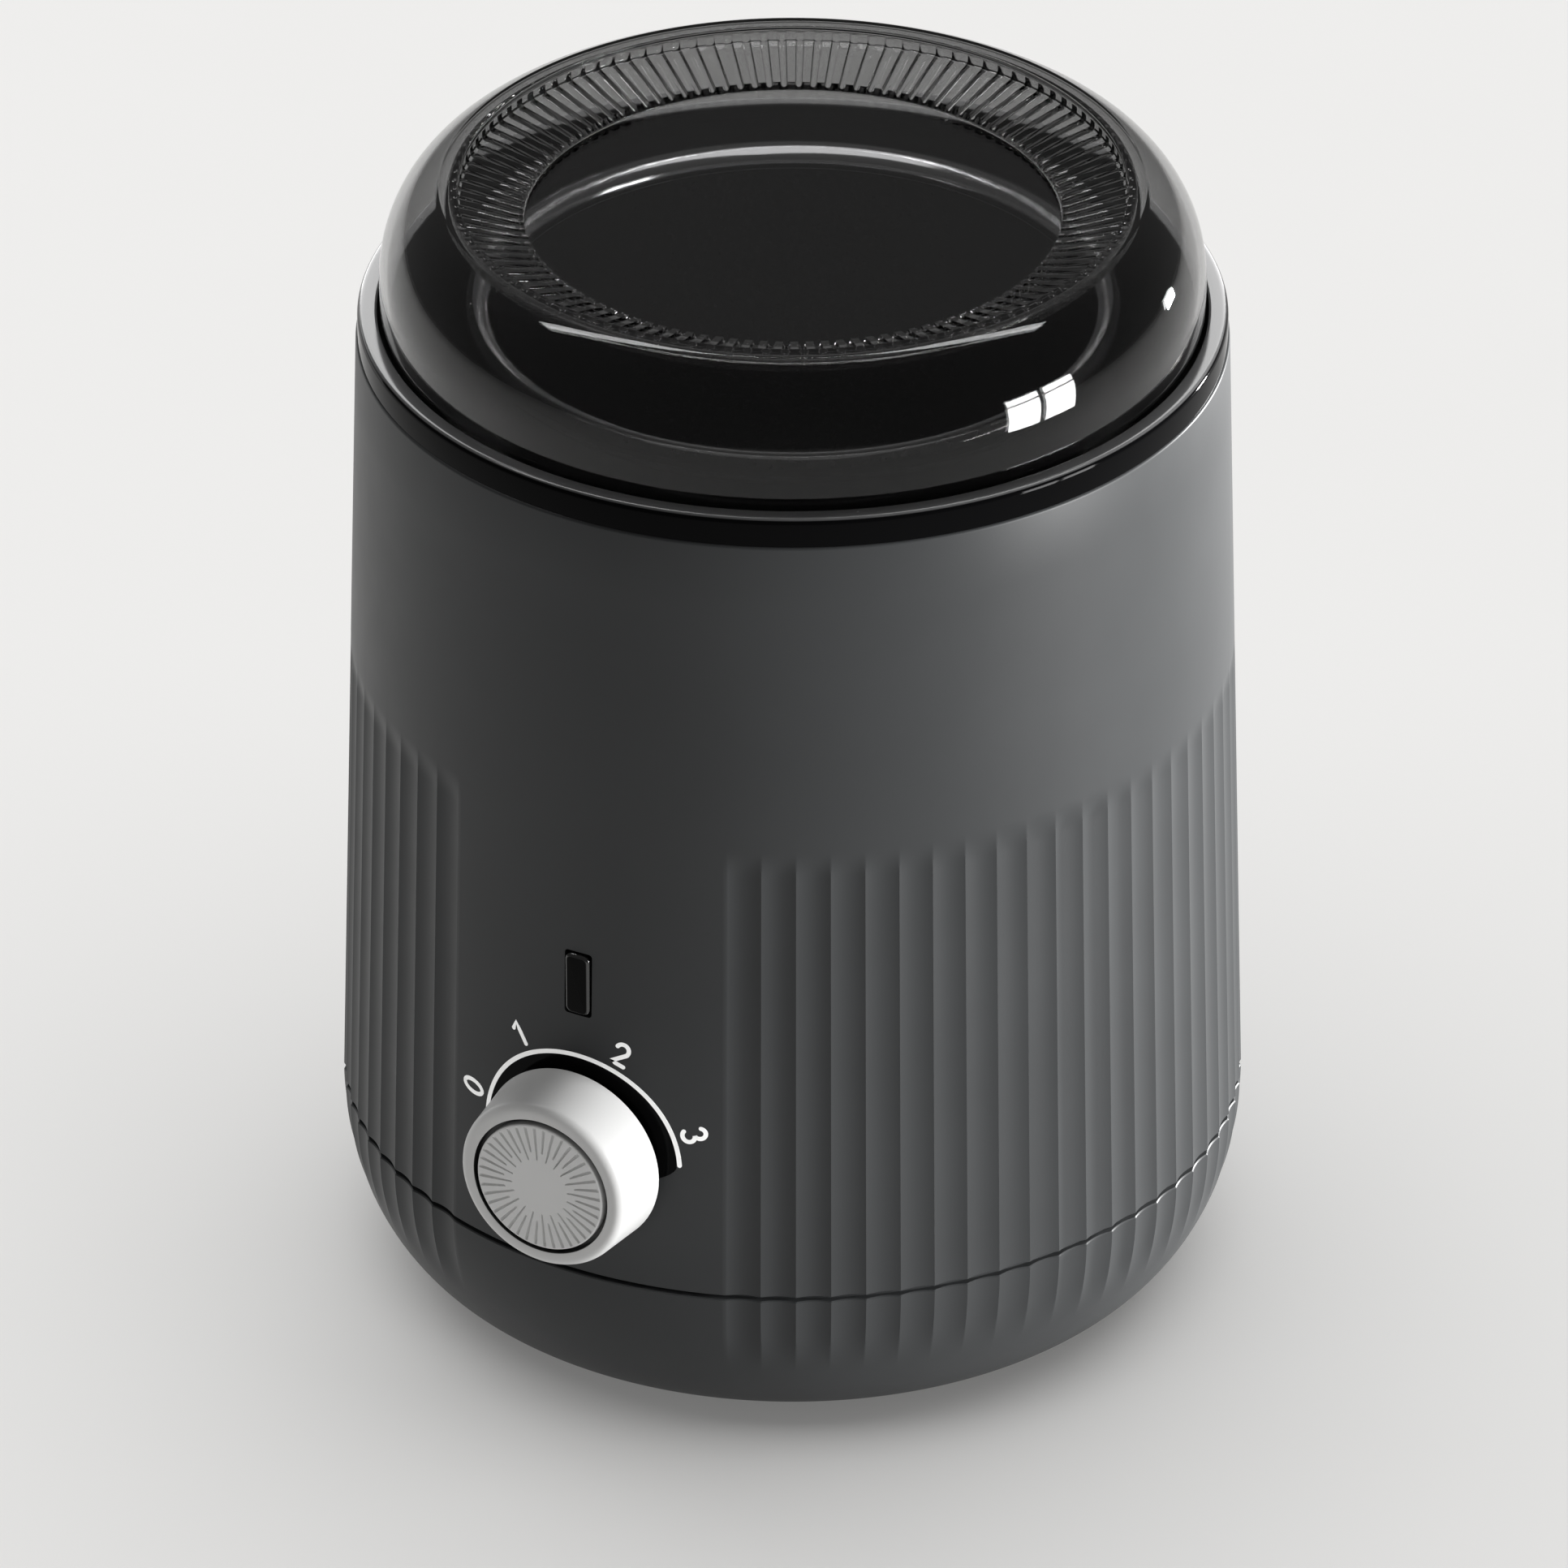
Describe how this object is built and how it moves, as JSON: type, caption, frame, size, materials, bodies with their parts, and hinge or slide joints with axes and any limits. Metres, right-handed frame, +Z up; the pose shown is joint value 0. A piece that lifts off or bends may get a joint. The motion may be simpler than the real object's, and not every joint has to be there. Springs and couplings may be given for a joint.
{
  "type": "wax heater",
  "caption": "Round fluted wax heater with a clear lift-off lid, a lift-out pot in a heated cup, a front temperature dial, an indicator window and a rear mains inlet.",
  "frame": {"origin": "on the floor at the casing's axis", "axes": "+Z up along the casing's axis, the dial faces -Y, +X to the right seen from the front"},
  "size_m": [0.12, 0.1294, 0.1576],
  "materials": {
    "charcoal": "satin moulded, charcoal grey",
    "gloss_black": "glossy black",
    "smoked_clear": "clear, smoked grey",
    "silver": "satin silver white",
    "cap_grey": "satin grey",
    "lens_smoke": "dark smoked window",
    "rubber_black": "matt",
    "steel": "zinc plated",
    "aluminium": "spun",
    "nonstick": "dark non-stick coating on aluminium",
    "silicone": "silicone rubber",
    "glass_fibre": "white glass-fibre mat",
    "copper": "copper",
    "brass": "turned brass",
    "phenolic": "dark phenolic moulding",
    "white_plastic": "white moulding",
    "lamp_glass": "clear bulb",
    "black_plastic": "black moulding",
    "nickel": "nickel-plated brass",
    "lead_white": "silicone-sheathed lead"
  },
  "bodies": {
    "casing": {"base_shell": "charcoal", "body_shell": "charcoal", "deck_ring": "gloss_black", "feet": "rubber_black", "base_screws": "steel", "deck_screws": "steel", "cup_screws": "steel", "heating_cup": "aluminium", "cup_gasket": "silicone", "heater_band": "silicone", "band_clamp": "steel", "clamp_screw": "steel", "clamp_nut": "steel", "insulation_sleeve": "glass_fibre", "heat_baffle": "aluminium", "baffle_screws": "steel", "sensing_bulb": "copper", "bulb_clip": "steel", "thermal_fuse": "white_plastic", "fuse_clip": "steel", "thermostat_housing": "phenolic", "thermostat_bush": "brass", "thermostat_nut": "steel", "thermostat_terminals": "brass", "indicator_lens": "lens_smoke", "lamp_holder": "white_plastic", "neon_lamp": "lamp_glass", "lamp_leads": "copper", "inlet_socket": "black_plastic", "inlet_pins": "nickel", "lead_live": "lead_white", "lead_fuse": "lead_white", "lead_heater": "lead_white", "lead_neutral": "lead_white", "capillary_tube": "copper"},
    "dial": {"thermostat_shaft": "steel", "knob": "silver", "knob_cap": "cap_grey"},
    "pot": {"inner_pot": "nonstick"},
    "lid_body": {"lid": "smoked_clear"}
  },
  "joints": [
    {"name": "dial_turn", "type": "hinge", "parent": "casing", "child": "dial", "pos_m": [0, -0.06, 0.04335], "axis": [0, 1, 0], "range_deg": [0, 150]},
    {"name": "pot_lift", "type": "slide", "parent": "casing", "child": "pot", "axis": [0, 0, 1], "range_m": [0, 0.085]},
    {"name": "lid_lift", "type": "slide", "parent": "pot", "child": "lid_body", "axis": [0, 0, 1], "range_m": [0, 0.06]}
  ]
}
